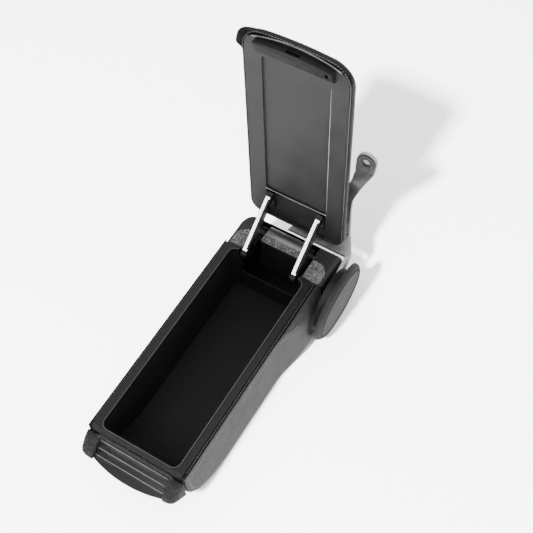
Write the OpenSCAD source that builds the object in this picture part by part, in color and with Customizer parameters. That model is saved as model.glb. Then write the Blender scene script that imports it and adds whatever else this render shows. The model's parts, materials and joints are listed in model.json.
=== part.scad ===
// Car centre armrest: a padded storage box with a lid on two gooseneck arms and a folding
// bracket on its hub. X is across the box to its right, Y is towards the hub, Z is up.
// The origin is the middle of the flat underside that the box rests on. Millimetres.

/* [Box] */
// Width of the box over its covered sides
box_w = 129.4; // [126:0.2:136]
// Height from the underside to the rim
box_h = 92; // [88:1:100]
// Length of the tray's opening
tray_l = 270; // [240:1:300]
// Width of the tray's opening
tray_w = 100; // [94:1:104]
// Corner radius of the tray's opening
tray_r = 8; // [5:1:12]
// Wall of the tray
tray_wall = 2; // [1.6:0.2:2.4]
// Height of the tray's floor above the underside
tray_floor = 12; // [9:1:20]
// Wall of the moulded outer box
shell_wall = 3; // [2.4:0.2:4]
// Thickness of the covered side panels
skin_t = 2.4; // [1.6:0.2:3]
// Length of the rounded front under the box
nose_run = 82; // [70:1:90]
// Height at which the rounded front ends
nose_rise = 65; // [58:1:68]
// Distance from the tray's front edge to the box's front
front_lip = 6; // [5:0.5:8]
// Distance from the rear of the flat underside to the folding axis
base_back = 36; // [32:1:44]
// Height of the hard rim
rim_h = 3.6; // [3:0.2:5]
// Radius of the piping beside the rim
piping_r = 1.2; // [1:0.1:1.4]

/* [Hub] */
// Height of the folding axis
hub_z = 54; // [52:1:58]
// Radius of the hub drum
drum_r = 50; // [48:1:51]
// Wall of the drum
drum_wall = 3; // [2.4:0.2:4]
// Right end of the drum, from the middle of the box
drum_right = 71.5; // [69:0.5:73]
// Rounding of the drum's left end
drum_round = 12; // [8:1:16]
// Rounding of the drum's right end
drum_end_round = 9; // [5:1:10]
// Distance from the tray's rear edge to the folding axis
tray_back = 16; // [14:1:20]
// Depth of the shoulder below the rim
shoulder_drop = 6; // [5:0.5:8]
// Thickness of the grained shoulder pads
pad_t = 3; // [2:0.5:4]
// Width of the notch that the lid's arms come out of
notch_w = 82; // [80:1:86]
// Radius of the seam where the right side panel ends
seam_r = 85.5; // [80:0.5:90]
// How far the right side panel flares out beside the drum
flare_out = 13.5; // [9:0.5:15]
// Radius of the hub cover
cover_r = 52; // [50:1:53]
// Thickness of the hub cover
cover_t = 8; // [7:0.5:10]
// Radius of the cover's inset disc
disc_r = 45; // [36:1:45.4]
// Lean of the cover's face
cover_tilt = 5; // [0:0.5:6]
// Radius of the neck behind the cover
neck_r = 47; // [42:1:48]
// Length of the neck behind the cover
neck_l = 7.3; // [6:0.1:9]
// Radius of the folding shaft
shaft_r = 8; // [6:0.5:9]

/* [Lid] */
// Length of the lid
lid_l = 310; // [304:1:312]
// Gap between the closed lid and the rim
lid_gap = 1; // [0.8:0.1:1.4]
// Angle that the lid opens
lid_open = 91.6; // [85:0.2:94]
// Distance from the folding axis back to the lid's pin
pin_back = 29.5; // [28.5:0.5:30]
// Height of the lid's pin above the folding axis
pin_up = 19.4; // [18.4:0.2:20]
// Radius of the lid's pin
pin_r = 4; // [3:0.5:4.5]
// Radius of the barrel between the arms
barrel_r = 12; // [10:0.5:12]
// Thickness of the lid's underside panel
panel_t = 5; // [4.5:0.5:6]
// Border of cover round the underside panel
panel_in = 3.2; // [2.6:0.2:4]
// Width of the recess in the panel
recess_w = 82; // [76:1:84]
// Length of the recess in the panel
recess_l = 220; // [190:1:221]
// Depth of the recess in the panel
recess_d = 2.6; // [1.5:0.1:3]
// Thickness of the board in the lid
board_t = 2.5; // [2:0.5:4]
// Height of the cushion over the board
cushion_h = 8.5; // [7:0.5:12]
// Rounding of the lid's rear corners
lid_r = 18; // [12:1:24]
// Rounding of the lid's front corners
lid_front_r = 28; // [22:1:32]
// Radius of the bow of the lid's front edge
lid_bow = 400; // [300:10:600]
// Width of the latch bar
bar_w = 92; // [84:1:94]
// Length of the latch bar
bar_l = 22; // [16:1:24]
// Depth of the latch bar under the lid
bar_d = 9; // [8.6:0.1:9.6]

/* [Arms] */
// Distance between the middles of the two arms
arm_gap = 68; // [66:1:69]
// Width of an arm
arm_w = 7; // [6:0.2:7.4]
// Depth of an arm
arm_d = 11; // [10:0.5:12]
// Thickness of the bright strip on an arm
trim_t = 1.2; // [0.8:0.1:1.6]

/* [Front button] */
// Width of the release button
button_w = 92; // [84:1:93]
// Radius of the button's pin
button_pin_r = 2; // [1.5:0.25:2.25]
// How far the middle of the button stands out from the box
nose_out = 28; // [26:1:31]
// Bow of the button's front edge
button_bow = 7; // [5:0.5:9]
// Width of the latch tongue
tongue_w = 14; // [10:1:18]

/* [Bracket] */
// Thickness of the bracket's sheet
sheet_t = 4; // [3:0.5:4.5]
// Height of the leg's bolt hole above the bracket's shelf
leg_rise = 156; // [140:1:170]
// How far the leg's bolt hole lies from the middle of the box
leg_x = 78; // [74:1:84]
// Radius of the leg's rounded end
leg_end_r = 11.5; // [10:0.5:13]
// Radius of the bolt hole in the leg
leg_hole_r = 4.25; // [3:0.25:5]
// Thickness of the pad at the leg's end
leg_pad_t = 2.5; // [2:0.5:4]

/* [Hidden] */
$fn = 64;
soft_fn = 28;
fit = 0.05;
gap = 0.4;
hub_y = (tray_back + tray_l + front_lip - nose_run + base_back) / 2;
half_w = box_w / 2;
shell_half = half_w - skin_t;
tray_half = tray_w / 2;
tray_back_y = hub_y - tray_back;
tray_front_y = tray_back_y - tray_l;
front_y = tray_front_y - front_lip;
nose_y = front_y + nose_run;
base_back_y = hub_y - base_back;
shell_back_y = tray_back_y + tray_wall + gap + shell_wall;
drum_front_y = shell_back_y + gap;
shell_top = box_h - rim_h;
rim_half = shell_half - 2 * piping_r - 0.2;
shoulder_z = box_h - shoulder_drop;
notch_half = notch_w / 2;
pin_y = hub_y + pin_back;
pin_z = hub_z + pin_up;
strip_half = arm_gap / 2 - arm_w / 2 - 3;
ear_x = drum_right + gap;
neck_x = ear_x + sheet_t + gap;
cover_x = neck_x + neck_l;
lid_z = box_h + lid_gap;
lid_half = half_w + 0.2;
lid_front_y = front_y - 1;
lid_back_y = lid_front_y + lid_l;
board_z = lid_z + panel_t;
pillow_z = board_z + board_t;
ridge_y = tray_back_y - 22;
bar_front_y = tray_front_y + 1;
arm_x = arm_gap / 2;
knuckle_y = hub_y + 18;
knuckle_z = hub_z - 24;
arm_end_y = ridge_y + 7;
arm_end_z = lid_z + 1.2;
arm_rise = atan2(arm_end_z - knuckle_z, arm_end_y - knuckle_y);
arm_run = norm([arm_end_z - knuckle_z, arm_end_y - knuckle_y]);
button_half = button_w / 2;
rocker_y = front_y - 4.5;
rocker_z = box_h - 20;
band_z = box_h - 36;
nut_r = 13;
window_half = tongue_w / 2 + 1;
shelf_z = hub_z + 26;
shelf_y = hub_y + 45;
leg_y = hub_y + 74;
hole_z = shelf_z + sheet_t + leg_rise;
seam_y = hub_y - 78;
seam_z = box_h - 9;

// Points on a quarter of an ellipse that rises from the underside to the front
function nose_curve(run, rise) =
    [for (i = [0:12]) let (a = 270 - i * 7.5) [nose_y + run * cos(a), nose_rise + rise * sin(a)]];

// Extrudes an outline drawn in Y and Z across X from x0 to x1
module across(x0, x1) {
    translate([x0, 0, 0]) rotate([90, 0, 90]) linear_extrude(x1 - x0) children();
}

// A round bar along X
module x_bar(r, x0, x1, y, z) {
    translate([x0, y, z]) rotate([0, 90, 0]) cylinder(r = r, h = x1 - x0);
}

// A rectangle with rounded corners between two lines of Y
module rounded_plan(half, y0, y1, r) {
    union() {
        translate([-half + r, y0]) square([2 * half - 2 * r, y1 - y0]);
        translate([-half, y0 + r]) square([2 * half, y1 - y0 - 2 * r]);
        for (x = [-half + r, half - r], y = [y0 + r, y1 - r]) translate([x, y]) circle(r = r);
    }
}

// Turns what is drawn in the closed lid's place to the open place
module opened() {
    translate([0, pin_y, pin_z]) rotate([-lid_open, 0, 0]) translate([0, -pin_y, -pin_z])
        children();
}

// Side outline of the moulded box
module shell_outline(inset, top_z) {
    polygon(concat(
        [[base_back_y, inset]],
        nose_curve(nose_run - inset, nose_rise - inset),
        [[front_y + inset, top_z], [shell_back_y - inset, top_z], [shell_back_y - inset, 4.8 + inset]]
    ));
}

module box_shell() {
    inner_half = shell_half - shell_wall;
    color([0.10, 0.10, 0.11]) difference() {
        intersection() {
            across(-shell_half, shell_half) shell_outline(0, shell_top);
            translate([0, 0, -1]) linear_extrude(box_h + 2)
                rounded_plan(shell_half, front_y, shell_back_y, 6);
        }
        across(-inner_half, inner_half) shell_outline(shell_wall, box_h);
        translate([-notch_half, tray_back_y, hub_z - 30]) cube([notch_w, 20, box_h]);
        translate([-window_half, front_y - 1, rocker_z + 2]) cube([2 * window_half, 8, box_h]);
        for (x = [-40, 40], y = [nose_y + 24, base_back_y - 14])
            translate([x, y, -1]) cylinder(r = 2 + fit, h = shell_wall + 2);
    }
}

// The tray with its rim flange is one moulding
module inner_bin() {
    color([0.07, 0.07, 0.08]) difference() {
        union() {
            intersection() {
                across(-tray_half - tray_wall, tray_half + tray_wall) polygon(concat(
                    [[tray_back_y + tray_wall, tray_floor - tray_wall]],
                    nose_curve(nose_run - front_lip + tray_wall,
                        nose_rise - tray_floor + tray_wall),
                    [[tray_front_y - tray_wall, box_h - 0.5],
                        [tray_back_y + tray_wall, box_h - 0.5]]
                ));
                linear_extrude(box_h) rounded_plan(tray_half + tray_wall,
                    tray_front_y - tray_wall, tray_back_y + tray_wall, tray_r + tray_wall);
            }
            intersection() {
                across(-rim_half, rim_half) polygon([
                    [front_y, shell_top], [front_y, shell_top + 0.2], [front_y + 4.5, box_h],
                    [shell_back_y, box_h], [shell_back_y, shell_top]
                ]);
                linear_extrude(box_h + 1)
                    rounded_plan(rim_half, front_y, shell_back_y, 5.8);
            }
            translate([0, 0, box_h - 1]) linear_extrude(1.6)
                rounded_plan(tray_half + 1.2, tray_front_y - 1.2, tray_back_y + 1.2, tray_r + 1.2);
        }
        intersection() {
            across(-tray_half, tray_half) polygon(concat(
                [[tray_back_y, tray_floor]],
                nose_curve(nose_run - front_lip, nose_rise - tray_floor),
                [[tray_front_y, box_h + 2], [tray_back_y, box_h + 2]]
            ));
            linear_extrude(box_h + 3)
                rounded_plan(tray_half, tray_front_y, tray_back_y, tray_r);
        }
        translate([-notch_half, tray_back_y - 12, hub_z - 10]) cube([notch_w, 40, box_h]);
        translate([-window_half, front_y + 0.5, rocker_z + 2])
            cube([2 * window_half, 8, shell_top - rocker_z - 2]);
    }
}

module rim_piping() {
    color([0.13, 0.13, 0.14]) for (side = [-1, 1])
        translate([side * (shell_half - piping_r - 0.1), front_y + 9, shell_top + piping_r])
            rotate([-90, 0, 0]) cylinder(r = piping_r, h = shell_back_y - front_y - 9);
}

// Side outline of a covered panel, ended by the round seam at the hub
module cover_outline(seam) {
    difference() {
        intersection() {
            polygon(concat(
                [[hub_y + 20, 0.6]],
                nose_curve(nose_run - 0.6, nose_rise - 0.6),
                [[front_y + 0.6, box_h - 1.4], [hub_y + 20, box_h - 1.4]]
            ));
            union() {
                translate([front_y, 0]) square([seam_y - front_y, box_h]);
                translate([seam_y, seam_z]) circle(r = seam, $fn = 96);
            }
        }
        translate([shell_back_y + 2, shoulder_z - 20]) square([60, 60]);
    }
}

module side_cover_left() {
    color([0.16, 0.16, 0.17]) mirror([1, 0, 0])
        across(shell_half, half_w) cover_outline(seam_r);
}

// The right panel flares out over the front of the hub
module side_cover_right() {
    outer = half_w + flare_out;
    color([0.16, 0.16, 0.17]) difference() {
        intersection() {
            across(shell_half, outer) cover_outline(seam_r);
            linear_extrude(box_h) polygon(concat(
                [[shell_half, front_y], [half_w, front_y]],
                [for (i = [0:12]) let (a = i * 15)
                    [half_w + flare_out * (1 - cos(a)) / 2, hub_y - 108 + i * 6.2]],
                [[outer, hub_y + 20], [shell_half, hub_y + 20]]
            ));
            translate([0, front_y, 0]) rotate([90, 0, 0]) mirror([0, 0, 1])
                linear_extrude(hub_y + 20 - front_y) polygon([
                    [shell_half, 0], [half_w + 3, 0], [outer - 4, 12], [outer - 1, 28],
                    [outer, box_h - 46], [outer - 0.6, box_h - 26], [outer - 3.4, box_h - 13],
                    [half_w + 3.4, box_h - 6], [half_w, box_h], [shell_half, box_h]
                ]);
        }
        x_bar(neck_r + 1.4, drum_right - 0.1, outer + 5, hub_y, hub_z);
        x_bar(shaft_r + gap, shell_half - 1, outer + 5, hub_y, hub_z);
    }
}

// The frame round the release button, with a rounded ear on each side
module front_frame() {
    color([0.12, 0.12, 0.13]) difference() {
        union() {
            for (side = [-1, 1]) hull() {
                translate([side * (half_w - 9.5), front_y - 16, band_z + 12.5])
                    sphere(r = 8.2, $fn = soft_fn);
                translate([side * (half_w - 8.3), front_y - 6, band_z + 20.5])
                    sphere(r = 8.4, $fn = soft_fn);
                translate([side * (half_w - 9.7) - 9, front_y - 0.6, band_z - 6])
                    cube([18, 0.6, 35]);
                translate([side * (half_w - 14.7), front_y - 20, band_z + 8])
                    sphere(r = 4.6, $fn = soft_fn);
                translate([side * (half_w - 13.7), front_y - 12, band_z + 1])
                    sphere(r = 4.6, $fn = soft_fn);
            }
            across(-button_half - 3, button_half + 3) polygon([
                [front_y, band_z + 27.2], [front_y - 3.4, band_z + 27.2],
                [front_y - 3.4, band_z + 28.4], [front_y, shell_top - 0.2]
            ]);
            across(-button_half - 3, button_half + 3) polygon([
                [front_y, band_z - 9], [front_y - 14, band_z - 2.6],
                [front_y - 18, band_z - 0.8], [front_y - 16, band_z], [front_y, band_z - 1.6]
            ]);
        }
        across(-button_half - gap, button_half + gap)
            translate([front_y - 41, band_z]) square([41, 27.2]);
        translate([-half_w - 15, front_y, band_z - 16]) cube([box_w + 30, 20, 60]);
        x_bar(button_pin_r + fit, -button_half - 4, button_half + 4, rocker_y, rocker_z);
    }
}

// The stepped rocker that is pressed to free the lid, with its latch tongue
module latch_button() {
    arc_r = (pow(button_half, 2) + pow(button_bow, 2)) / (2 * button_bow);
    color([0.14, 0.14, 0.15]) difference() {
        union() {
            intersection() {
                across(-button_half, button_half) translate([front_y, rocker_z]) polygon([
                    [-1.2, 10.8], [-4.6, 8.6], [-6.8, 2.6], [-11, 0.8], [-12.8, -4],
                    [-17.4, -5.6], [-19.2, -8.4], [-nose_out - 6, -11.6],
                    [-nose_out - 6, -13.4], [-6, -13.4], [-1.8, -6]
                ]);
                translate([0, front_y - nose_out + arc_r, rocker_z - 22])
                    cylinder(r = arc_r, h = 40, $fn = 96);
            }
            across(-tongue_w / 2, tongue_w / 2) polygon([
                [front_y - 1.6, rocker_z + 3.6], [front_y + 3.8, rocker_z + 4.4],
                [front_y + 3.8, lid_z - 7.7], [bar_front_y + 1.4, lid_z - 7.7],
                [bar_front_y + 1.4, lid_z - 6.2], [front_y + 2.2, lid_z - 6.2],
                [front_y + 2.2, rocker_z + 7], [front_y - 1.6, rocker_z + 7]
            ]);
        }
        x_bar(button_pin_r + fit, -button_half - 1, button_half + 1, rocker_y, rocker_z);
        x_bar(button_pin_r + 1.4, 18, 30, rocker_y, rocker_z);
    }
}

module button_pin() {
    color([0.6, 0.6, 0.62])
        x_bar(button_pin_r, -button_half - 3.6, button_half + 3.6, rocker_y, rocker_z);
}

// A torsion spring on the pin, drawn as closed coils
module button_spring() {
    color([0.55, 0.56, 0.58]) for (i = [0:5])
        translate([20 + i * 1.6, rocker_y, rocker_z]) rotate([0, 90, 0])
            rotate_extrude() translate([button_pin_r + 0.6, 0]) circle(r = 0.45, $fn = 16);
}

// Outline of one grained pad on the shoulder
module pad_plan(side, grow) {
    x0 = side > 0 ? notch_half + 1 - grow : -(shell_half - 3) - grow;
    x1 = side > 0 ? drum_right - 7 + grow : -notch_half - 1 + grow;
    y0 = drum_front_y + 2 - grow;
    y1 = hub_y + 20 + grow;
    r = 16;
    far = side > 0 ? x1 - r : x0 + r;
    intersection() {
        translate([x0, y0]) square([x1 - x0, y1 - y0]);
        union() {
            translate([x0, y0]) square([x1 - x0, y1 - y0 - r]);
            translate([side > 0 ? x0 : far, y0]) square([x1 - x0 - r, y1 - y0]);
            translate([far, y1 - r]) circle(r = r);
        }
    }
}

module shoulder_pads() {
    color([0.32, 0.32, 0.34]) union() {
        for (side = [-1, 1]) difference() {
            translate([0, 0, shoulder_z - pad_t]) linear_extrude(pad_t) pad_plan(side, 0);
            translate([side * (notch_half + 6) - 0.5, drum_front_y + 1, shoulder_z - 1])
                cube([1, 22, 2]);
        }
        difference() {
            translate([-strip_half, hub_y + 13, shoulder_z - pad_t])
                cube([2 * strip_half, 9, pad_t]);
            x_bar(barrel_r + gap, -strip_half - 1, strip_half + 1, pin_y, pin_z);
        }
    }
}

// The hub's hollow drum, flat on top, which carries the hinge and the folding shaft
module hub_housing() {
    left = -shell_half + gap;
    len = drum_right - left;
    color([0.13, 0.13, 0.14]) difference() {
        intersection() {
            translate([left, hub_y, hub_z]) rotate([0, 90, 0]) rotate_extrude($fn = 96) union() {
                square([drum_r - drum_round, len]);
                translate([0, drum_round]) square([drum_r, len - drum_round - drum_end_round]);
                translate([drum_r - drum_round, drum_round]) circle(r = drum_round);
                translate([drum_r - drum_end_round, len - drum_end_round])
                    circle(r = drum_end_round);
            }
            translate([0, drum_front_y + 100, 0]) rotate([90, 0, 0]) linear_extrude(100) union() {
                translate([left - 1, 3.4]) square([len - 7, shoulder_z - 3.4]);
                translate([left - 1, 3.4]) square([len + 1, shoulder_z - 11.4]);
                translate([drum_right - 8, shoulder_z - 8]) circle(r = 8);
            }
        }
        intersection() {
            x_bar(drum_r - drum_wall, left + drum_wall, shell_half - 4, hub_y, hub_z);
            translate([-half_w - 15, drum_front_y + drum_wall, hub_z - 40])
                cube([box_w + 30, 100, shoulder_z - hub_z + 40 - drum_wall - pad_t]);
        }
        translate([-notch_half, drum_front_y - 1, hub_z - 30]) cube([notch_w, 12, box_h]);
        translate([-notch_half, drum_front_y - 1, hub_z + 12])
            cube([notch_w, pin_y + barrel_r + 1.3 - drum_front_y + 1, box_h]);
        for (side = [-1, 1]) translate([0, 0, shoulder_z - pad_t]) linear_extrude(pad_t + 1)
            pad_plan(side, 0);
        x_bar(shaft_r + fit, shell_half - 3, drum_right + 1, hub_y, hub_z);
        difference() {
            x_bar(seam_r + gap, shell_half - gap, drum_right + 1, seam_y, seam_z);
            translate([0, shell_back_y + 2 + gap, shoulder_z - 20 + gap]) cube(100);
        }
    }
}

module hub_neck() {
    color([0.09, 0.09, 0.10]) difference() {
        translate([neck_x, hub_y, hub_z]) rotate([0, 90, 0]) rotate_extrude($fn = 96) difference() {
            square([neck_r, neck_l + 5]);
            translate([neck_r + 9, 0]) circle(r = 16);
        }
        translate([cover_x, hub_y, hub_z]) rotate([0, 90 + cover_tilt, 0])
            cylinder(r = cover_r + 8, h = 20);
        x_bar(shaft_r + fit, neck_x - 1, cover_x + 8, hub_y, hub_z);
        x_bar(nut_r + 1.6, cover_x - 3, cover_x + 8, hub_y, hub_z);
    }
}

// The round cover at the hub's right end
module hub_cover() {
    color([0.17, 0.17, 0.18]) difference() {
        translate([cover_x, hub_y, hub_z]) rotate([0, 90 + cover_tilt, 0])
            rotate_extrude($fn = 96) difference() {
                intersection() {
                    union() {
                        square([cover_r, cover_t - 6]);
                        square([cover_r - 6, cover_t]);
                        translate([cover_r - 6, cover_t - 6]) circle(r = 6);
                    }
                    square([cover_r, cover_t]);
                }
                translate([0, cover_t - 1.6]) square([disc_r + gap, 3]);
            }
        x_bar(nut_r + 1.6, cover_x - 4, cover_x + cover_t - 3.4, hub_y, hub_z);
    }
}

module cover_disc() {
    color([0.19, 0.19, 0.20]) translate([cover_x, hub_y, hub_z]) rotate([0, 90 + cover_tilt, 0])
        translate([0, 0, cover_t - 1.6]) cylinder(r = disc_r, h = 1.3);
}

// Two steel cheeks on one base carry the lid's pin
module hinge_frame() {
    color([0.55, 0.56, 0.58]) difference() {
        union() {
            for (side = [-1, 1]) across(side * (notch_half + 1.5) - 1.5,
                side * (notch_half + 1.5) + 1.5) union() {
                    translate([pin_y, pin_z]) circle(r = pin_r + 2);
                    polygon([
                        [hub_y - 4, hub_z - 40], [hub_y + 20, hub_z - 40],
                        [hub_y + 37, hub_z - 14], [pin_y + pin_r + 2, pin_z],
                        [pin_y - pin_r - 2, pin_z], [hub_y + 2, hub_z - 8]
                    ]);
            }
            translate([-notch_half, hub_y - 4, hub_z - 40]) cube([notch_w, 28, 3]);
        }
        x_bar(pin_r + fit, -notch_half - 5, notch_half + 5, pin_y, pin_z);
    }
}

module hinge_barrel() {
    color([0.72, 0.73, 0.75]) difference() {
        x_bar(barrel_r, -strip_half, strip_half, pin_y, pin_z);
        x_bar(pin_r + fit, -strip_half - 1, strip_half + 1, pin_y, pin_z);
    }
}

// The wall and shelf under the grained strip, between the arms
module hinge_bridge() {
    color([0.09, 0.09, 0.10]) difference() {
        across(-strip_half, strip_half) polygon([
            [hub_y + 13, hub_z - 37], [hub_y + 15.4, hub_z - 37],
            [hub_y + 15.4, pin_z - 11.4], [hub_y + 22, pin_z - 3.4],
            [hub_y + 22, shoulder_z - pad_t], [hub_y + 13, shoulder_z - pad_t]
        ]);
        x_bar(barrel_r + gap, -strip_half - 1, strip_half + 1, pin_y, pin_z);
    }
}

module lid_pin() {
    color([0.6, 0.6, 0.62]) union() {
        x_bar(pin_r, -notch_half - 5, notch_half + 5, pin_y, pin_z);
        for (side = [-1, 1])
            x_bar(pin_r + 2, side * (notch_half + 4) - 0.8, side * (notch_half + 4) + 0.8, pin_y, pin_z);
    }
}

module fold_shaft() {
    color([0.6, 0.6, 0.62])
        x_bar(shaft_r, shell_half - 3 + gap, cover_x + cover_t - 4, hub_y, hub_z);
}

module disc_springs() {
    color([0.55, 0.56, 0.58]) difference() {
        union() {
            x_bar(nut_r + 1, cover_x - 2.8, cover_x - 1.8, hub_y, hub_z);
            x_bar(nut_r, cover_x - 1.8, cover_x - 0.8, hub_y, hub_z);
        }
        x_bar(shaft_r + fit, cover_x - 4, cover_x, hub_y, hub_z);
    }
}

module shaft_nut() {
    color([0.5, 0.5, 0.52]) difference() {
        translate([cover_x - 0.6, hub_y, hub_z]) rotate([0, 90, 0])
            cylinder(r = nut_r, h = cover_t - 4.2, $fn = 6);
        x_bar(shaft_r + fit, cover_x - 2, cover_x + cover_t, hub_y, hub_z);
    }
}

module box_screws() {
    color([0.5, 0.5, 0.52]) for (x = [-40, 40], y = [nose_y + 24, base_back_y - 14]) {
        translate([x, y, 0.4]) cylinder(r = 2, h = tray_floor - tray_wall - 0.8);
        translate([x, y, shell_wall]) cylinder(r = 3.6, h = 2.4);
    }
}

// Plan of the lid, its front edge bowed, drawn in by an inset and by a lead at the front
module lid_plan(inset, lead) {
    half = lid_half - inset;
    y0 = lid_front_y + inset + lead;
    y1 = lid_back_y - inset;
    r0 = lid_front_r - inset / 2;
    r1 = max(lid_r - inset, 4);
    intersection() {
        union() {
            translate([-half, y0 + r0]) square([2 * half, y1 - y0 - r0 - r1]);
            translate([-half + r0, y0]) square([2 * half - 2 * r0, y1 - y0 - 1]);
            translate([-half + r1, y0 + r0]) square([2 * half - 2 * r1, y1 - y0 - r0]);
            for (side = [-1, 1]) {
                translate([side * (half - r0), y0 + r0]) circle(r = r0);
                translate([side * (half - r1), y1 - r1]) circle(r = r1);
            }
        }
        translate([0, y0 + lid_bow]) circle(r = lid_bow, $fn = 240);
    }
}

// Plan of the panel, more strongly bowed at its front
module panel_plan() {
    intersection() {
        lid_plan(panel_in, 1);
        translate([0, lid_front_y + 4.5 + 150]) circle(r = 150, $fn = 180);
        translate([-100, lid_front_y]) square([200, 120]);
    }
    intersection() {
        lid_plan(panel_in, 1);
        translate([-100, lid_front_y + 100]) square([200, 260]);
    }
}

// The plastic panel under the lid, with a long recess and an open recess for the arms
module lid_panel() {
    color([0.15, 0.15, 0.16]) opened() difference() {
        translate([0, 0, lid_z]) linear_extrude(panel_t) union() { panel_plan(); }
        translate([0, 0, lid_z - 1]) linear_extrude(recess_d + 1)
            rounded_plan(recess_w / 2, ridge_y - recess_l, ridge_y, 5);
        translate([-notch_half + 0.6, ridge_y + 1.8, lid_z - 1])
            cube([notch_w - 1.2, 80, panel_t - 1 + 1]);
    }
}

module lid_board() {
    color([0.5, 0.36, 0.22]) opened() translate([0, 0, board_z]) linear_extrude(board_t)
        lid_plan(panel_in, 7);
}

// The cushion wraps over the board and down round the panel's edge
module lid_cushion() {
    top_z = pillow_z + cushion_h;
    color([0.14, 0.14, 0.15]) opened() difference() {
        union() {
            translate([0, 0, lid_z + 0.4]) linear_extrude(3) lid_plan(0, 0);
            hull() {
                translate([0, 0, lid_z + 3]) linear_extrude(0.4)
                    lid_plan(0, 0, $fn = soft_fn);
                translate([0, 0, top_z - 7]) linear_extrude(0.2)
                    lid_plan(0, 6, $fn = soft_fn);
                translate([0, 0, top_z - 2.4]) linear_extrude(0.2)
                    lid_plan(6, 8, $fn = soft_fn);
                translate([0, 0, top_z - 0.2]) linear_extrude(0.2)
                    lid_plan(26, 12, $fn = soft_fn);
            }
        }
        translate([0, 0, lid_z - 1]) linear_extrude(panel_t + 1) union() { panel_plan(); }
        translate([0, 0, board_z - 0.01]) linear_extrude(board_t + 0.01) lid_plan(panel_in, 7);
    }
}

// The bar under the lid's front end, grooved for the button's tongue
module latch_bar() {
    bow = (pow(bar_w / 2, 2) + 16) / 8;
    color([0.11, 0.11, 0.12]) opened() difference() {
        intersection() {
            across(-bar_w / 2, bar_w / 2) polygon([
                [bar_front_y, lid_z], [bar_front_y, lid_z - bar_d],
                [bar_front_y + 6, lid_z - bar_d], [bar_front_y + bar_l - 3, lid_z - 4.4],
                [bar_front_y + bar_l, lid_z]
            ]);
            translate([0, bar_front_y + bow, lid_z - 12]) cylinder(r = bow, h = 14, $fn = 240);
        }
        translate([-window_half, bar_front_y - 1, lid_z - 8])
            cube([2 * window_half, 3.8, 3.6]);
        translate([bar_w / 2 - 9, bar_front_y + 7, lid_z - 12]) cube([4, 7, 9]);
    }
}

// One gooseneck: a straight arm, a round knuckle and a short arm to the pin
module hinge_arm(side) {
    x0 = side * arm_x - arm_w / 2;
    short_run = norm([pin_z - knuckle_z, pin_y - knuckle_y]);
    short_rise = atan2(pin_z - knuckle_z, pin_y - knuckle_y);
    color([0.08, 0.08, 0.09]) opened() difference() {
        union() {
            across(x0, x0 + arm_w) intersection() {
                union() {
                    translate([knuckle_y, knuckle_z]) rotate(arm_rise) translate([0, -arm_d / 2])
                        square([arm_run, arm_d - trim_t]);
                    translate([knuckle_y, knuckle_z]) circle(r = arm_d / 2);
                    translate([knuckle_y, knuckle_z]) rotate(short_rise)
                        translate([0, -arm_d / 2]) square([short_run, arm_d]);
                    translate([pin_y, pin_z]) circle(r = 9);
                }
                translate([ridge_y - 40, 0]) square([140, board_z - 1]);
            }
            translate([x0 - 0.8, arm_end_y - 4, board_z - 3]) cube([arm_w + 1.6, 30, 2]);
        }
        x_bar(pin_r + fit, x0 - 1, x0 + arm_w + 1, pin_y, pin_z);
    }
}

module hinge_arm_left() {
    hinge_arm(-1);
}

module hinge_arm_right() {
    hinge_arm(1);
}

// The bright strip along the front of an arm
module arm_trim(side) {
    color([0.9, 0.9, 0.92]) opened() translate([0, knuckle_y, knuckle_z])
        rotate([arm_rise, 0, 0])
            translate([side * arm_x - arm_w / 2 + 0.8, 3.8, arm_d / 2 - trim_t])
                cube([arm_w - 1.6, arm_run - 10, trim_t]);
}

module arm_trim_left() {
    arm_trim(-1);
}

module arm_trim_right() {
    arm_trim(1);
}

module arm_screws() {
    color([0.5, 0.5, 0.52]) opened() for (side = [-1, 1])
        translate([side * arm_x, arm_end_y + 20, board_z - 4.2]) cylinder(r = 2.8, h = 1.2);
}

// Outline of the leg, drawn in X and Z
module leg_outline() {
    z0 = shelf_z;
    union() {
        polygon([
            [38, z0], [61.4, z0], [61.4, hole_z - 105], [62.6, hole_z - 86],
            [66.5, hole_z - 73], [71.6, hole_z - 58], [77, hole_z - 44],
            [leg_x + leg_end_r * 0.8, hole_z - 20], [leg_x + leg_end_r, hole_z],
            [leg_x - leg_end_r, hole_z], [leg_x - leg_end_r - 1, hole_z - 18],
            [61, hole_z - 42], [56, hole_z - 60], [48, hole_z - 80],
            [41, hole_z - 105], [38, hole_z - 130]
        ]);
        translate([leg_x, hole_z]) circle(r = leg_end_r);
    }
}

module bracket_leg() {
    color([0.75, 0.76, 0.78]) difference() {
        translate([0, leg_y + sheet_t, 0]) rotate([90, 0, 0]) linear_extrude(sheet_t)
            leg_outline();
        translate([leg_x, leg_y - 1, hole_z]) rotate([-90, 0, 0])
            cylinder(r = leg_hole_r, h = sheet_t + 2);
    }
}

module leg_pad() {
    color([0.3, 0.3, 0.32]) difference() {
        translate([0, leg_y, 0]) rotate([90, 0, 0]) linear_extrude(leg_pad_t) union() {
            translate([leg_x, hole_z]) circle(r = leg_end_r);
            polygon([
                [leg_x + leg_end_r, hole_z], [leg_x - leg_end_r, hole_z],
                [leg_x - leg_end_r - 1, hole_z - 18], [leg_x + leg_end_r * 0.8, hole_z - 18]
            ]);
        }
        translate([leg_x, leg_y + 1, hole_z]) rotate([90, 0, 0])
            cylinder(r = leg_hole_r + 1.4, h = leg_pad_t + 2);
    }
}

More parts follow.
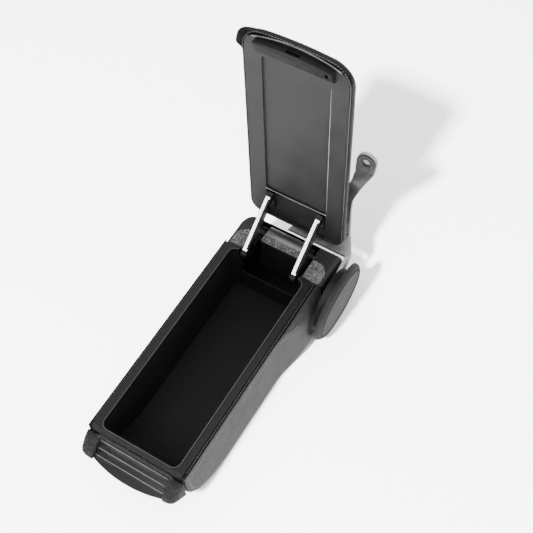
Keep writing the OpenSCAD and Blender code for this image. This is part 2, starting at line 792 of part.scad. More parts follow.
// The shelf behind the drum and the ring that turns on the folding shaft
module bracket_frame() {
    color([0.78, 0.79, 0.8]) difference() {
        union() {
            translate([0, 0, shelf_z]) linear_extrude(sheet_t) polygon([
                [-8, shelf_y], [ear_x + sheet_t, shelf_y], [ear_x + sheet_t, shelf_y + 8],
                [64, leg_y - gap / 2], [64, leg_y], [36, leg_y], [24, shelf_y + 20],
                [-4, shelf_y + 12]
            ]);
            across(ear_x, ear_x + sheet_t) union() {
                translate([hub_y, hub_z]) circle(r = 20);
                polygon([
                    [hub_y + 8, hub_z + 18], [shelf_y, shelf_z + sheet_t],
                    [shelf_y + 8, shelf_z + sheet_t], [shelf_y + 8, shelf_z - 6],
                    [hub_y + 14, hub_z - 14], [hub_y, hub_z]
                ]);
            }
        }
        x_bar(shaft_r + fit, ear_x - 1, ear_x + sheet_t + 1, hub_y, hub_z);
    }
}

module leg_rivets() {
    color([0.6, 0.6, 0.62]) for (z = [shelf_z + 24, shelf_z + 44])
        translate([50, leg_y, z]) rotate([90, 0, 0]) cylinder(r = 4, h = 1.6);
}

box_shell();
inner_bin();
rim_piping();
side_cover_left();
side_cover_right();
front_frame();
latch_button();
button_pin();
button_spring();
shoulder_pads();
hub_housing();
hub_neck();
hub_cover();
cover_disc();
hinge_frame();
hinge_barrel();
hinge_bridge();
lid_pin();
fold_shaft();
disc_springs();
shaft_nut();
box_screws();
lid_panel();
lid_board();
lid_cushion();
latch_bar();
hinge_arm_left();
hinge_arm_right();
arm_trim_left();
arm_trim_right();
arm_screws();
bracket_frame();
bracket_leg();
leg_pad();
leg_rivets();
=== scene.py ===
import json
import math

import bmesh
import bpy
import numpy as np
from mathutils import Matrix, Vector
from mathutils.bvhtree import BVHTree


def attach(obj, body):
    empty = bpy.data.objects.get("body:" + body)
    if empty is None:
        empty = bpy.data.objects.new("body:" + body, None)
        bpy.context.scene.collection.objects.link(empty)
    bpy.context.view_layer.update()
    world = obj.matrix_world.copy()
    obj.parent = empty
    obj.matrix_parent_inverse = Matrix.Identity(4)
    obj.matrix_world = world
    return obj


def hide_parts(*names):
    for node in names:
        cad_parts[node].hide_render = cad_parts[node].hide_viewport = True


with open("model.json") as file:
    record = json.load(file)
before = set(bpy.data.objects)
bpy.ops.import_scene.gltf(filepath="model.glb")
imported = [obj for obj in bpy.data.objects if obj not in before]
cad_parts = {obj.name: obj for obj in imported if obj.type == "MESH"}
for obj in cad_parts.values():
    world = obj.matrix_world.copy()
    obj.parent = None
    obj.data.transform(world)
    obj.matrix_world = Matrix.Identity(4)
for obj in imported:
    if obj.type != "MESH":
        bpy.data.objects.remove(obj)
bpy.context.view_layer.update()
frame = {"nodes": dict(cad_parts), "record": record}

# Lengths are millimetres in what follows, and become metres when a mesh is made.
# x runs across the armrest, y from the button to the hub, and z up.
# The lid's pieces are drawn closed, and are then turned to where the photograph has the lid.
LID_OPEN = math.radians(91.6)
PIN_Y, PIN_Z = 152.5, 73.4
LID_Z = 93.0
LID_HALF, LID_FRONT, LID_BACK = 64.9, -170, 140
FRONT_CORNER, BACK_CORNER, FRONT_BOW = 28, 18, 400.0

# How far one step of smoothing moves a point towards the mean of its neighbours
SMOOTHING = 0.6


# Materials

def material(name, base, rough, metal=0.0):
    """A plain principled material; the callers add their own bump and variation."""
    m = bpy.data.materials.new(name)
    m.use_nodes = True
    tree = m.node_tree
    shader = tree.nodes["Principled BSDF"]
    shader.inputs["Base Color"].default_value = (*base, 1)
    shader.inputs["Roughness"].default_value = rough
    shader.inputs["Metallic"].default_value = metal
    return m, tree, shader


def coords(tree, scale=(1, 1, 1)):
    tex = tree.nodes.new("ShaderNodeTexCoord")
    mapping = tree.nodes.new("ShaderNodeMapping")
    mapping.inputs["Scale"].default_value = scale
    tree.links.new(tex.outputs["Object"], mapping.inputs["Vector"])
    return mapping.outputs["Vector"]


def noise(tree, vector, scale, detail=3.0, rough=0.55):
    n = tree.nodes.new("ShaderNodeTexNoise")
    n.inputs["Scale"].default_value = scale
    n.inputs["Detail"].default_value = detail
    n.inputs["Roughness"].default_value = rough
    tree.links.new(vector, n.inputs["Vector"])
    return n.outputs["Fac"]


def cells(tree, vector, scale):
    """The distance to the nearest edge between the cells of a Voronoi pattern."""
    n = tree.nodes.new("ShaderNodeTexVoronoi")
    n.feature = "DISTANCE_TO_EDGE"
    n.inputs["Scale"].default_value = scale
    tree.links.new(vector, n.inputs["Vector"])
    return n.outputs["Distance"]


def ramp(tree, fac, stops):
    """Colours between stops, each a position and a colour."""
    r = tree.nodes.new("ShaderNodeValToRGB")
    e = r.color_ramp.elements
    e[0].position, e[0].color = stops[0][0], (*stops[0][1], 1)
    e[1].position, e[1].color = stops[-1][0], (*stops[-1][1], 1)
    for pos, col in stops[1:-1]:
        k = e.new(pos)
        k.color = (*col, 1)
    tree.links.new(fac, r.inputs["Fac"])
    return r.outputs["Color"]


def between(tree, fac, low, high):
    """A grey level that goes from low to high over the middle of a noise's range."""
    return ramp(tree, fac, [(0.3, (low,) * 3), (0.7, (high,) * 3)])


def mixer(tree, a, b):
    """A mix of two colours, whose factor the caller sets or links."""
    n = tree.nodes.new("ShaderNodeMix")
    n.data_type = "RGBA"
    tree.links.new(a, n.inputs["A"])
    tree.links.new(b, n.inputs["B"])
    return n.inputs["Factor"], n.outputs["Result"]


def bump(tree, shader, height, strength, distance, normal=None):
    b = tree.nodes.new("ShaderNodeBump")
    b.inputs["Strength"].default_value = strength
    b.inputs["Distance"].default_value = distance
    tree.links.new(height, b.inputs["Height"])
    if normal is not None:
        tree.links.new(normal, b.inputs["Normal"])
    tree.links.new(b.outputs["Normal"], shader.inputs["Normal"])
    return b.outputs["Normal"]


def grey(v, tint=(1.0, 1.0, 1.03)):
    """A grey with the faint blue of the photograph."""
    return tuple(v * t for t in tint)


def uneven(tree, shader, rough, scale, spread=0.06):
    """Slow changes in gloss; gives the coordinates and the noise for more of the same."""
    v = coords(tree)
    f = noise(tree, v, scale, 4)
    gloss = between(tree, f, rough - spread, rough + spread)
    tree.links.new(gloss, shader.inputs["Roughness"])
    return v, f


def plastic(name, value, rough, fine=3200, depth=0.00003):
    """Moulded plastic with a fine spark-eroded texture."""
    m, tree, sh = material(name, grey(value), rough)
    v, f = uneven(tree, sh, rough, 40)
    colour = ramp(tree, f, [(0.3, grey(value * 0.85)), (0.7, grey(value * 1.15))])
    tree.links.new(colour, sh.inputs["Base Color"])
    bump(tree, sh, noise(tree, v, fine, 2), 0.35, depth)
    return m


def leather(name, value, rough):
    """Embossed cells over soft creases; the colour is painted darker at the cell edges, as
    painted shade in the hollows, and lighter on the cell tops, as painted highlight.
    """
    m, tree, sh = material(name, grey(value), rough)
    v, _ = uneven(tree, sh, rough, 26)
    d = cells(tree, v, 520)
    # Painted shade at the cell edges and painted highlight on the cell tops
    painted_grain_light = ramp(tree, d, [(0.0, grey(value * 0.2)), (0.14, grey(value * 0.9)),
                          (0.4, grey(value * 1.8))])
    blotch = ramp(tree, noise(tree, v, 260, 5, 0.7),
                  [(0.36, grey(value * 0.72)), (0.64, grey(value * 1.32))])
    share, colour = mixer(tree, painted_grain_light, blotch)
    share.default_value = 0.5
    tree.links.new(colour, sh.inputs["Base Color"])
    soft = ramp(tree, d, [(0.0, (0, 0, 0)), (0.22, (1, 1, 1))])
    creased = bump(tree, sh, noise(tree, v, 55, 3), 0.5, 0.0014)
    bump(tree, sh, soft, 0.6, 0.0005, creased)
    return m


def grained(name, value, rough, cell=430):
    """Coarse moulded grain; its colour is painted lighter on the raised spots, as painted
    highlight, and darker between them, as painted shade.
    """
    m, tree, sh = material(name, grey(value), rough)
    v, _ = uneven(tree, sh, rough, 60)
    d = cells(tree, v, cell)
    # Painted shade between the raised spots and painted highlight on them
    painted_spot_light = ramp(tree, d, [(0.02, grey(value * 0.3)), (0.16, grey(value * 0.9)),
                           (0.45, grey(value * 2.0))])
    tree.links.new(painted_spot_light, sh.inputs["Base Color"])
    soft = ramp(tree, d, [(0.0, (0, 0, 0)), (0.3, (1, 1, 1))])
    fine = bump(tree, sh, noise(tree, v, 900, 2), 0.3, 0.0001)
    bump(tree, sh, soft, 0.8, 0.00035, fine)
    return m


def brushed_metal(name, value, rough):
    return metal(name, value, rough, (40, 40, 1600), 1.0)


def metal(name, value, rough, stretch=(1, 1, 1), scale=60):
    """Bare metal whose gloss varies, in streaks where the noise is stretched."""
    m, tree, sh = material(name, grey(value, (1, 1, 1.01)), rough, metal=1.0)
    f = noise(tree, coords(tree, stretch), scale, 3)
    tree.links.new(between(tree, f, rough * 0.7, rough * 1.35), sh.inputs["Roughness"])
    bump(tree, sh, f, 0.12, 0.00002)
    return m


def tray_plastic(name, deep, rim, split):
    """The tray's dull inside and the finely grained, shinier rim are one moulding; below the
    split height the colour is painted darker, as painted shade, and above it lighter, as painted
    light on the top, whose grain is painted darker in its hollows and lighter on its raised
    spots.
    """
    m, tree, sh = material(name, grey(deep), 0.6)
    v = coords(tree)
    parts = tree.nodes.new("ShaderNodeSeparateXYZ")
    tree.links.new(v, parts.inputs[0])
    where = tree.nodes.new("ShaderNodeMapRange")
    where.inputs["From Min"].default_value = split
    where.inputs["From Max"].default_value = split + 0.0006
    tree.links.new(parts.outputs["Z"], where.inputs["Value"])
    f = noise(tree, v, 30, 3)
    d = cells(tree, v, 900)
    # Painted shade: the darker colour below the split; painted light: the lighter, grained colour
    # above it
    inside = ramp(tree, f, [(0.3, grey(deep * 0.8)), (0.7, grey(deep * 1.2))])
    top = ramp(tree, d, [(0.0, grey(rim * 0.4)), (0.4, grey(rim * 1.7))])
    dull = between(tree, f, 0.58, 0.68)
    satin = between(tree, f, 0.3, 0.4)
    for low, high, socket in ((inside, top, "Base Color"), (dull, satin, "Roughness")):
        share, result = mixer(tree, low, high)
        tree.links.new(where.outputs["Result"], share)
        tree.links.new(result, sh.inputs[socket])
    bump(tree, sh, d, 0.45, 0.00012)
    return m


MATS = {
    "shell_plastic": plastic("shell plastic", 0.02, 0.55),
    # The tray's inside is painted darker than its rim, as painted shade
    "bin_plastic": tray_plastic("bin plastic", 0.011, 0.022, 0.0885),
    "rim_plastic": plastic("rim plastic", 0.01, 0.42),
    "side_leather": leather("side leather", 0.052, 0.5),
    "lid_leather": leather("lid leather", 0.011, 0.42),
    "grained_plastic": grained("grained plastic", 0.032, 0.46),
    "hub_plastic": plastic("hub plastic", 0.024, 0.42),
    "button_plastic": plastic("button plastic", 0.02, 0.3),
    "panel_plastic": plastic("panel plastic", 0.031, 0.42, fine=2000, depth=0.00008),
    "board": plastic("board", 0.3, 0.8),
    "arm_black": plastic("arm black", 0.012, 0.3),
    "arm_chrome": metal("arm chrome", 0.96, 0.16),
    "bracket_steel": metal("bracket steel", 0.85, 0.42),
    "pin_steel": brushed_metal("pin steel", 0.5, 0.3),
    "pad_plastic": grained("pad plastic", 0.07, 0.55),
    "thread": plastic("thread", 0.3, 0.7),
    # The shoulder pads are painted light grey, as painted light on their lit tops
    "shoulder_painted_light": grained("shoulder grain", 0.4, 0.42, cell=420),
    # The hub housing's top is painted far lighter than the rest, as painted light on its
    # up-facing top
    "housing": tray_plastic("housing", 0.008, 0.06, 0.0835),
    "barrel_steel": brushed_metal("barrel steel", 0.4, 0.4),
    # Light grey beads along edges, as painted highlights
    "painted_highlight": plastic("painted_highlight", 0.34, 0.3),
    # Near black, as painted shade in a groove
    "painted_groove_shade": plastic("painted_groove_shade", 0.004, 0.7),
}

# Nodes whose finish isn't the one that their slot gives
OWN = {"shoulder_pads": "shoulder_painted_light", "hinge_barrel": "barrel_steel",
       "hub_housing": "housing", "hinge_frame": "arm_black"}
for part in frame["record"]["subparts"]:
    obj = frame["nodes"][part["node"]]
    obj.data.materials.clear()
    obj.data.materials.append(MATS[OWN.get(part["node"], part["material_slot"])])


# Forms: lists of vertices in millimetres and of faces

def loft(rings):
    """A closed form through rings of as many points."""
    n = len(rings[0])
    verts = [p for ring in rings for p in ring]
    faces = []
    for k in range(len(rings) - 1):
        for i in range(n):
            j = (i + 1) % n
            faces.append((k * n + i, k * n + j, (k + 1) * n + j, (k + 1) * n + i))
    faces.append(tuple(range(n - 1, -1, -1)))
    faces.append(tuple((len(rings) - 1) * n + i for i in range(n)))
    return verts, faces


def joined(forms):
    """Several forms as one."""
    verts, faces = [], []
    for v, f in forms:
        faces += [tuple(len(verts) + i for i in face) for face in f]
        verts += v
    return verts, faces


def distances(points):
    """How far along a path each of its points is."""
    steps = np.linalg.norm(np.diff(points, axis=0), axis=1)
    return np.concatenate([[0], np.cumsum(steps)])


def tube(path, radius, closed=False, sides=8):
    """A round tube along a path; radius is a function of the distance along it."""
    p = np.asarray(path, float)
    n = len(p)
    step = np.roll(p, -1, 0) - np.roll(p, 1, 0)
    if not closed:
        step[0], step[-1] = p[1] - p[0], p[-1] - p[-2]
    step /= np.linalg.norm(step, axis=1)[:, None]
    gone = distances(p)
    # Any direction that no path here follows will do to start the sides from.
    side = np.cross(step[0], (0.31, 0.17, 0.93))
    verts, faces = [], []
    for i in range(n):
        side = side - step[i] * side.dot(step[i])
        side /= np.linalg.norm(side)
        other = np.cross(step[i], side)
        r = radius(gone[i])
        for k in range(sides):
            a = 2 * math.pi * k / sides
            verts.append(tuple(p[i] + r * (math.cos(a) * side + math.sin(a) * other)))
    for i in range(n if closed else n - 1):
        j = (i + 1) % n
        for k in range(sides):
            m = (k + 1) % sides
            faces.append((i * sides + k, i * sides + m, j * sides + m, j * sides + k))
    if not closed:
        faces.append(tuple(range(sides)))
        faces.append(tuple((n - 1) * sides + k for k in range(sides)))
    return verts, faces


def even(r):
    """A tube's radius that stays the same."""
    return lambda d: r


def gathered(mean, swing, pitch):
    """A tube's radius that swells between stitches."""
    return lambda d: mean + swing * math.sin(d * 2 * math.pi / pitch)


def straight(start, end, count):
    return [tuple(p) for p in np.linspace(start, end, count)]


def bowed(half, front, z, bow, count):
    """A line across the armrest that bows forward to front in its middle."""
    return [(x, front + bow - math.sqrt(bow ** 2 - x ** 2), z)
            for x in np.linspace(-half, half, count)]


def resample(path, gap, closed):
    """Points at even distances along a path."""
    p = np.asarray(path, float)
    if closed:
        p = np.vstack([p, p[:1]])
    gone = distances(p)
    n = max(2, int(round(gone[-1] / gap)))
    at = np.linspace(0, gone[-1], n + 1)
    out = np.stack([np.interp(at, gone, p[:, k]) for k in range(3)], 1)
    return out[:-1] if closed else out


def stitches(path, length, pitch, r, closed=True):
    """Short rounded threads at even distances along a path."""
    fine = 0.5
    p = resample(path, fine, closed)
    span = int(length / fine)
    total = span * fine
    threads = []
    for a in range(0, len(p) - span - 1, int(pitch / fine)):
        run = p[a:a + span + 1]
        threads.append(tube(run, lambda d: r * math.sqrt(max(0.12, 1 - (2 * d / total - 1) ** 2)),
                            sides=6))
    return joined(threads)


def opened(verts):
    """Turns points of the closed lid to where the open lid has them."""
    c, s = math.cos(LID_OPEN), math.sin(LID_OPEN)
    return [(x, PIN_Y + (y - PIN_Y) * c + (z - PIN_Z) * s,
             PIN_Z - (y - PIN_Y) * s + (z - PIN_Z) * c) for x, y, z in verts]


# Pieces

def piece(name, data, slot, body, mat=None, sharp=None):
    """A new mesh object that rides on a body and takes its finish from a slot."""
    data.materials.clear()
    data.materials.append(mat or MATS[slot])
    data.shade_smooth()
    if sharp:
        data.set_sharp_from_angle(angle=math.radians(sharp))
    obj = bpy.data.objects.new(name, data)
    bpy.context.scene.collection.objects.link(obj)
    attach(obj, body)
    return obj


def make_mesh(name, verts, faces):
    """A mesh from points in millimetres, with its faces turned outwards."""
    data = bpy.data.meshes.new(name)
    data.from_pydata([(x / 1000, y / 1000, z / 1000) for x, y, z in verts], [], faces)
    bm = bmesh.new()
    bm.from_mesh(data)
    bmesh.ops.recalc_face_normals(bm, faces=bm.faces)
    bm.to_mesh(data)
    bm.free()
    return data


def add(name, form, slot, body, mat=None, sharp=None):
    """A piece from a form, which is drawn with the lid closed."""
    verts, faces = form
    if body == "lid":
        verts = opened(verts)
    return piece(name, make_mesh(name, verts, faces), slot, body, mat, sharp)


def points_of(data):
    """The points of a mesh as an array, in metres."""
    flat = np.empty(len(data.vertices) * 3)
    data.vertices.foreach_get("co", flat)
    return flat.reshape(-1, 3)


def links(data):
    """The two ends of each edge of a mesh, and how many edges meet at each point."""
    edges = np.empty(len(data.edges) * 2, dtype=np.int64)
    data.edges.foreach_get("vertices", edges)
    a, b = edges[0::2], edges[1::2]
    n = len(data.vertices)
    count = np.bincount(a, minlength=n) + np.bincount(b, minlength=n)
    return a, b, np.maximum(count, 1)[:, None]


def middles(co, a, b, count):
    """The mean of each point's neighbours."""
    total = np.zeros_like(co)
    np.add.at(total, a, co[b])
    np.add.at(total, b, co[a])
    return total / count


def voxel_mesh(obj, size):
    """An object's form as an even mesh, from voxels of a size in millimetres."""
    mod = obj.modifiers.new("remesh", "REMESH")
    mod.mode = "VOXEL"
    mod.voxel_size = size / 1000
    graph = bpy.context.evaluated_depsgraph_get()
    return bpy.data.meshes.new_from_object(obj.evaluated_get(graph))


def soft_copy(node, name, voxel, slot, rolled, across=0, ends=0, beyond=0.0):
    """A node's form in its place, with its edges rolled and its facets smoothed away.

    It takes the rolled steps in every direction, then steps that move points across the
    armrest only, and then steps at the ends, which lie further out than beyond.
    """
    work = bpy.data.objects.new(name + "_work", frame["nodes"][node].data.copy())
    bpy.context.scene.collection.objects.link(work)
    data = voxel_mesh(work, voxel)
    bpy.data.objects.remove(work)
    data.name = name
    co = points_of(data)
    a, b, count = links(data)
    far = (np.abs(co[:, 0]) > beyond / 1000)[:, None]
    for i in range(rolled + across + ends):
        new = middles(co, a, b, count)
        if rolled <= i < rolled + across:
            new[:, 1:] = co[:, 1:]
        if i >= rolled + across:
            new = np.where(far, new, co)
        co = co + SMOOTHING * (new - co)
    data.vertices.foreach_set("co", co.ravel())
    data.update()
    out = piece(name, data, slot, "armrest")
    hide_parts(node)
    return out


def edge_copy(node, name, width, slot, body):
    """A rigid node in its place, with its hard edges broken as a moulding has them."""
    hard_angle, shading_angle = 28, 40
    bm = bmesh.new()
    bm.from_mesh(frame["nodes"][node].data)
    bmesh.ops.remove_doubles(bm, verts=bm.verts, dist=1e-6)
    bmesh.ops.dissolve_limit(bm, angle_limit=math.radians(1), verts=bm.verts, edges=bm.edges)
    hard = [e for e in bm.edges if len(e.link_faces) == 2
            and e.calc_face_angle(0) > math.radians(hard_angle)]
    bmesh.ops.bevel(bm, geom=hard, offset=width / 1000, segments=2, profile=0.6,
                    affect="EDGES", clamp_overlap=True)
    data = bpy.data.meshes.new(name)
    bm.to_mesh(data)
    bm.free()
    out = piece(name, data, slot, body, sharp=shading_angle)
    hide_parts(node)
    return out


def on_surface(nodes, path, lift):
    """Lays a path of (y, z) on the rightmost surface of the given objects."""
    graph = bpy.context.evaluated_depsgraph_get()
    trees = [BVHTree.FromObject(o, graph) for o in nodes]
    outside, inwards = 0.2, Vector((-1, 0, 0))
    out = []
    for y, z in path:
        start = Vector((outside, y / 1000, z / 1000))
        hits = [t.ray_cast(start, inwards)[0] for t in trees]
        xs = [h.x * 1000 for h in hits if h is not None]
        if xs:
            out.append((max(xs) + lift, y, z))
    return out


# The lid: leather drawn over the board and round the panel's edge, with a padded top

def lid_outline(inset, lead, height):
    """Plan of the lid with its bowed front, as a ring of 168 points.

    The ring lies inset from the lid's edge, with its front lead further back, at a height
    over the lid's underside.
    """
    half = LID_HALF - inset
    front, back = LID_FRONT + inset + lead, LID_BACK - inset
    corner, rear = FRONT_CORNER - inset / 2, max(BACK_CORNER - inset, 4)
    cx = half - corner
    cy = front + FRONT_BOW - math.sqrt((FRONT_BOW - corner) ** 2 - cx ** 2)
    start = math.atan2(cy - front - FRONT_BOW, cx)
    edge = FRONT_BOW * math.cos(start)
    right = []
    for i in range(12):
        x = edge * (i + 0.5) / 12
        right.append((x, front + FRONT_BOW - math.sqrt(FRONT_BOW ** 2 - x ** 2)))
    for i in range(16):
        a = start - start * i / 15
        right.append((cx + corner * math.cos(a), cy + corner * math.sin(a)))
    for i in range(1, 40):
        right.append((half, cy + (back - rear - cy) * i / 40))
    for i in range(9):
        a = math.radians(90 * i / 8)
        right.append((half - rear + rear * math.cos(a), back - rear + rear * math.sin(a)))
    for i in range(1, 9):
        right.append(((half - rear) * (1 - i / 8.5), back))
    left = [(-x, y) for x, y in reversed(right)]
    return [(x, y, LID_Z + height) for x, y in right + left]


# The rings of the wrap from its inner edge on: height, inset and lead, and for the wing at
# each front corner how far it drops and how far out from the middle it stands.
WRAP = [
    (7.6, 3.15, 6.8, 0, 0), (5.05, 3.15, 1.0, 0, 0), (4.0, 3.15, 0, 0, 0),
    (0.5, 3.0, 0, 0, 65.3), (0.1, 1.7, 0, 8, 66), (1.0, 0.45, 0, 6.5, 66.4),
    (2.6, 0.05, 0.1, 3, 66), (4.2, 0, 1.0, 0, 0), (6.2, 0.25, 2.6, 0, 0),
    (7.6, 0.8, 4.0, 0, 0), (8.2, 1.6, 4.8, 0, 0),
]
WING_Y, WING_SPREAD, WING_INNER = -150, 11, 50
RIGHT_WING = 0.35
BOX_SIDE, SIDE_ROOM = 63.4, 1.8


def winged(point, drop, out):
    """Pulls a point of the wrap outwards, and down where it is clear of the box's side."""
    x, y, z = point
    if abs(x) <= WING_INNER:
        return point
    w = math.exp(-((y - WING_Y) / WING_SPREAD) ** 2) * (RIGHT_WING if x > 0 else 1.0)
    x += math.copysign(max(out - abs(x), 0) * min(1.0, 2 * w), x)
    clear = min(1.0, max(0.0, (abs(x) - BOX_SIDE) / SIDE_ROOM))
    return x, y, z - drop * w * clear


rings = [[winged(p, drop, out) for p in lid_outline(inset, lead, height)]
         for height, inset, lead, drop, out in WRAP]
wrap = add("lid_wrap", loft(rings), "lid_leather", "lid")

# The rings of the pad: height, inset and lead
PAD = [(7.9, 1.4, 4.6), (9.2, 0.1, 4.2), (10.8, 0.4, 5.0), (12.8, 2.2, 6.0),
       (14.2, 6.0, 7.6), (15.2, 14, 10), (15.7, 30, 12)]
PAD_HELD = LID_Z + 9.4
PAD_SWELL = 1.8
PAD_VOXEL = 4


def cloth_points(obj, held):
    """Where cloth under pressure carries the points of an object, some of which are held."""
    obj.vertex_groups.new(name="held").add(held, 1.0, "REPLACE")
    cloth = obj.modifiers.new("cloth", "CLOTH")
    cloth.settings.quality = 6
    cloth.settings.use_pressure = True
    cloth.settings.uniform_pressure_force = 4
    cloth.settings.effector_weights.gravity = 0
    cloth.settings.vertex_group_mass = "held"
    scene = bpy.context.scene
    for f in range(1, 21):
        scene.frame_set(f)
    graph = bpy.context.evaluated_depsgraph_get()
    moved = points_of(obj.evaluated_get(graph).data)
    scene.frame_set(1)
    return moved


def swollen(data, low, cap):
    """Fills a padded form with pressure, by a cap at most, while what is below low stays."""
    work = bpy.data.objects.new("pad_work", data)
    bpy.context.scene.collection.objects.link(work)
    got = voxel_mesh(work, PAD_VOXEL)
    work.modifiers.clear()
    work.data = got
    rest = points_of(got)
    low, cap = low / 1000, cap / 1000
    moved = cloth_points(work, [i for i in range(len(rest)) if rest[i, 2] < low])
    step = moved - rest
    far = np.linalg.norm(step, axis=1)
    final = rest + step * np.minimum(1.0, cap / np.maximum(far, 1e-9))[:, None]
    a, b, count = links(got)
    for _ in range(6):
        final = final + SMOOTHING * (middles(final, a, b, count) - final)
    faces = [tuple(p.vertices) for p in got.polygons]
    bpy.data.objects.remove(work)
    return [tuple(p * 1000) for p in final], faces


base = make_mesh("pad_base", *loft([lid_outline(i, lead, h) for h, i, lead in PAD]))
pad = add("lid_pad", swollen(base, PAD_HELD, PAD_SWELL), "lid_leather", "lid")
sub = pad.modifiers.new("subdivision", "SUBSURF")
sub.levels = sub.render_levels = 1
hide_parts("lid_cushion")
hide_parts("lid_cushion")

seam = resample(lid_outline(1.2, 4.9, 8.3), 1.2, True)
add("lid_welt", tube(seam, gathered(0.9, 0.08, 4.8), True), "lid_leather", "lid")
add("lid_stitches", stitches(lid_outline(0.15, 2.4, 5.6), 3.0, 4.5, 0.32),
    "lid_leather", "lid", MATS["thread"])

# The moulded beads of the lid's panel: along its front edge, its ridge and its long recess, drawn
# light grey as painted highlights
RIDGE_Y, RIDGE_HALF = 86.0, 41
EDGE_X, EDGE_Y = 41.3, (-128, 78)
LINE_Z = LID_Z + 0.1
front = bowed(52, -165.5, LID_Z + 0.45, 150, 60)
add("panel_bead", tube(front, even(0.7), sides=10), "panel_plastic", "lid", MATS["painted_highlight"])
ridge = straight((-RIDGE_HALF, RIDGE_Y, LINE_Z), (RIDGE_HALF, RIDGE_Y, LINE_Z), 30)
add("panel_ridge", tube(ridge, even(0.5), sides=10), "panel_plastic", "lid", MATS["painted_highlight"])
edge = straight((EDGE_X, EDGE_Y[0], LINE_Z), (EDGE_X, EDGE_Y[1], LINE_Z), 60)
edge_length = EDGE_Y[1] - EDGE_Y[0]
add("recess_edge", tube(edge, lambda d: 0.15 + 0.2 * math.sin(math.pi * d / edge_length)),
    "panel_plastic", "lid", MATS["painted_highlight"])
add("rim_stitches", stitches(lid_outline(1.75, 0.1, 0.0), 2.2, 3.6, 0.35),
    "lid_leather", "lid", MATS["thread"])

# A black sheet laid just over the inner half of each arm's bright strip, as painted shade
ARM_X, ARM_FOOT, ARM_BEND = 34, (141, 30), (92, 94.2)
ARM_RISE = math.atan2(ARM_BEND[1] - ARM_FOOT[1], ARM_BEND[0] - ARM_FOOT[0])
STRIP_FACE, SHADE_LIFT = 5.4, 0.12
SHADE_X, SHADE_WIDTH, SHADE_ALONG = 1.1, 1.7, (6.0, 72.0)


def on_arm(x, along, off):
    """A point by its distances along an arm's foot and off its middle line."""
    c, s = math.cos(ARM_RISE), math.sin(ARM_RISE)
    return x, ARM_FOOT[0] + along * c - off * s, ARM_FOOT[1] + along * s + off * c


def strip_shade(side):
    x0 = side * ARM_X + SHADE_X
    x1, top = x0 + SHADE_WIDTH, STRIP_FACE + SHADE_LIFT
    section = ((x0, top), (x1, top), (x1, STRIP_FACE), (x0, STRIP_FACE))
    return loft([[on_arm(x, along, off) for x, off in section] for along in SHADE_ALONG])


add("arm_shade", joined([strip_shade(-1), strip_shade(1)]), "arm_black", "lid", sharp=30)

# The covered sides and the ears beside the button
left = soft_copy("side_cover_left", "side_leather_left", 0.9, "side_leather", 4, across=20)
right = soft_copy("side_cover_right", "side_leather_right", 1.1, "side_leather", 8, across=60)
soft_copy("front_frame", "front_ears", 0.8, "grained_plastic", 5, ends=30, beyond=48.0)

# The button, with beads along its steps and along its bowed lower edge, drawn light grey as
# painted highlights
edge_copy("latch_button", "button_cap", 0.5, "button_plastic", "button")
BUTTON_Y, BUTTON_Z = -169.0, 72.0
BUTTON_HALF, BUTTON_BOW = 46.0, 7.0
STEPS = ((-4.5, 8.6), (-10.9, 0.8), (-17.2, -5.6))
STEP_HALF = 45.2
LOWER_Y, LOWER_Z, LOWER_HALF = -27.7, -12.3, 44.5
beads = [straight((-STEP_HALF, BUTTON_Y + dy, BUTTON_Z + dz),
                  (STEP_HALF, BUTTON_Y + dy, BUTTON_Z + dz), 24) for dy, dz in STEPS]
bow_radius = (BUTTON_HALF ** 2 + BUTTON_BOW ** 2) / (2 * BUTTON_BOW)
beads.append(bowed(LOWER_HALF, BUTTON_Y + LOWER_Y, BUTTON_Z + LOWER_Z, bow_radius, 40))
add("button_beads", joined([tube(path, even(0.42)) for path in beads]),
    "button_plastic", "button", MATS["painted_highlight"])

# The sewn border of the right side: along the bottom, round the front and back at the top
ARC_Y, ARC_Z, ARC_DEEP, ARC_HIGH = -87, 65, 75, 57.5
SIDE_FRONT, SIDE_TOP = -162, 82.5
bottom = ARC_Z - ARC_HIGH
border = straight((30, bottom), (ARC_Y, bottom), 60)[:-1]
border += [(ARC_Y - ARC_DEEP * math.sin(a), ARC_Z - ARC_HIGH * math.cos(a))
           for a in np.radians(np.linspace(0, 88, 80))]
border += straight((SIDE_FRONT, 66), (SIDE_FRONT, 82), 12)
border += straight((-158, SIDE_TOP), (60, SIDE_TOP), 110)
line = on_surface([right], border, 0.05)
add("side_stitches", stitches(line, 2.4, 4.2, 0.34, closed=False),
    "side_leather", "armrest", MATS["thread"])

# The groove in the hub's cover, drawn as a near-black tube standing just out of the cover, as
# painted shade
HUB_Y, HUB_Z, GROOVE = 123, 54, 46
circle = [(HUB_Y + GROOVE * math.cos(math.radians(a)), HUB_Z + GROOVE * math.sin(math.radians(a)))
          for a in range(0, 360, 4)]
ring = on_surface([frame["nodes"]["hub_cover"], frame["nodes"]["cover_disc"]], circle, -0.1)
add("cover_groove", tube(ring, even(0.7), len(ring) == len(circle)),
    "hub_plastic", "armrest", MATS["painted_groove_shade"])

# The piping along both sides of the rim, and its thread
PIPE_X, PIPE_Z, PIPE_Y = 61.0, 89.6, (-160.0, 111.0)
pipes, sewn = [], []
for side in (-1, 1):
    path = [(side * PIPE_X, y, PIPE_Z) for y in np.arange(*PIPE_Y, 0.7)]
    pipes.append(tube(path, gathered(1.2, 0.1, 4.2), sides=12))
    line = [(side * (PIPE_X + 0.2), y, PIPE_Z + 1.15) for y in PIPE_Y]
    sewn.append(stitches(line, 1.5, 4.0, 0.3, closed=False))
piping = add("piping", joined(pipes), "side_leather", "armrest")
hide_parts("rim_piping")
add("piping_stitches", joined(sewn), "side_leather", "armrest", MATS["thread"])

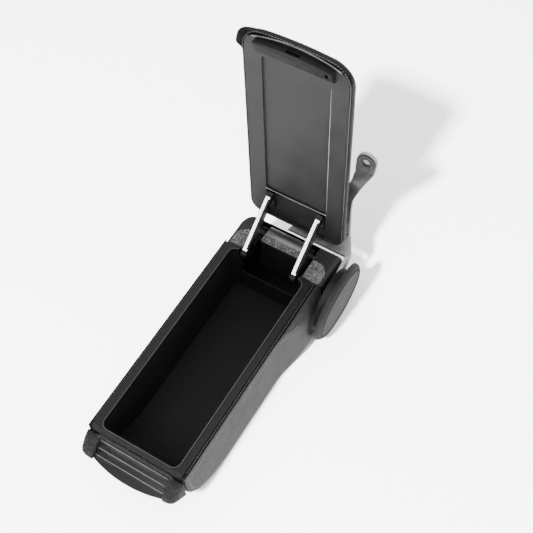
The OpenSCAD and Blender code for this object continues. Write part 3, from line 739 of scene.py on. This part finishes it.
# The raised lip round the tray's mouth, open where the arms pass, drawn light grey as a painted
# highlight
LIP_X, LIP_FRONT, LIP_BACK, LIP_R, LIP_Z = 42, -155, 99, 8.6, 92.2
LIP_ENDS, LIP_END_Y = (41.6, 43), 107.6
painted_highlight = [(-x, LIP_END_Y) for x in LIP_ENDS]
for cx, cy, turn in ((-LIP_X, LIP_BACK, 90), (-LIP_X, LIP_FRONT, 180),
                     (LIP_X, LIP_FRONT, 270), (LIP_X, LIP_BACK, 0)):
    for a in np.radians(np.linspace(turn, turn + 90, 9)):
        painted_highlight.append((cx + LIP_R * math.cos(a), cy + LIP_R * math.sin(a)))
painted_highlight += [(x, LIP_END_Y) for x in reversed(LIP_ENDS)]
painted_highlight = resample([(x, y, LIP_Z) for x, y in painted_highlight], 2, False)
add("tray_lip", tube(painted_highlight, even(0.46)), "bin_plastic", "armrest", MATS["painted_highlight"])

# The white floor and the world; lengths are metres from here on
bpy.ops.mesh.primitive_plane_add(size=8, location=(0, 0, -0.0004))
floor = bpy.context.object
floor.name = "floor"
floor.data.materials.append(material("floor", (0.92, 0.92, 0.92), 0.7)[0])
floor.visible_glossy = False

world = bpy.data.worlds.new("studio")
bpy.context.scene.world = world
world.use_nodes = True
background = world.node_tree.nodes["Background"]
background.inputs["Color"].default_value = (1, 1, 1, 1)
background.inputs["Strength"].default_value = 0.8


# The lamps

def lamp(name, place, aim, size, power, only=()):
    """A square lamp; where objects are given, it lights those and nothing else."""
    light = bpy.data.lights.new(name, "AREA")
    light.shape = "SQUARE"
    light.size = size
    light.energy = power
    obj = bpy.data.objects.new(name, light)
    bpy.context.scene.collection.objects.link(obj)
    obj.location = place
    obj.rotation_euler = (Vector(aim) - Vector(place)).to_track_quat("-Z", "Y").to_euler()
    if only:
        group = bpy.data.collections.new(name + " receivers")
        for receiver in only:
            group.objects.link(receiver)
        obj.light_linking.receiver_collection = group


trims = [frame["nodes"][n] for n in ("arm_trim_left", "arm_trim_right")]
steel = [frame["nodes"][n] for n in ("bracket_frame", "bracket_leg", "hinge_barrel",
                                     "leg_rivets")]
lamp("key", (0.0, -1.3, 2.0), (0, 0.1, 0.1), 0.6, 3)
lamp("floor wash", (0.0, -2.6, 3.6), (0, 0.1, 0), 0.3, 1350, [floor])
lamp("floor fill", (0.0, 0.0, 4.0), (0, 0, 0), 5, 430, [floor])
lamp("glint", (-0.48, -0.92, 1.19), (0, 0.15, 0.1), 0.5, 3, trims)
lamp("steel fill", (1.1, -0.9, 1.3), (0.05, 0.19, 0.2), 0.8, 6, steel)

# The camera, fitted to the photograph
CAMERA_AT = Vector((0.37909, -0.44257, 1.15229))
LOOK = Vector((-0.3027, 0.4365, -0.8473)).normalized()
LEVEL = Vector((0.8217, 0.5698, 0)).normalized()
ROLL = math.radians(4)
up = LEVEL.cross(LOOK).normalized()
axis_x = (LEVEL * math.cos(ROLL) - up * math.sin(ROLL)).normalized()
axis_y = (up * math.cos(ROLL) + LEVEL * math.sin(ROLL)).normalized()
lens = bpy.data.cameras.new("camera")
lens.lens = 70.93
lens.sensor_width = 36
camera = bpy.data.objects.new("camera", lens)
bpy.context.scene.collection.objects.link(camera)
turned = Matrix((axis_x, axis_y, -LOOK)).transposed().to_4x4()
camera.matrix_world = Matrix.Translation(CAMERA_AT) @ turned
bpy.context.scene.camera = camera
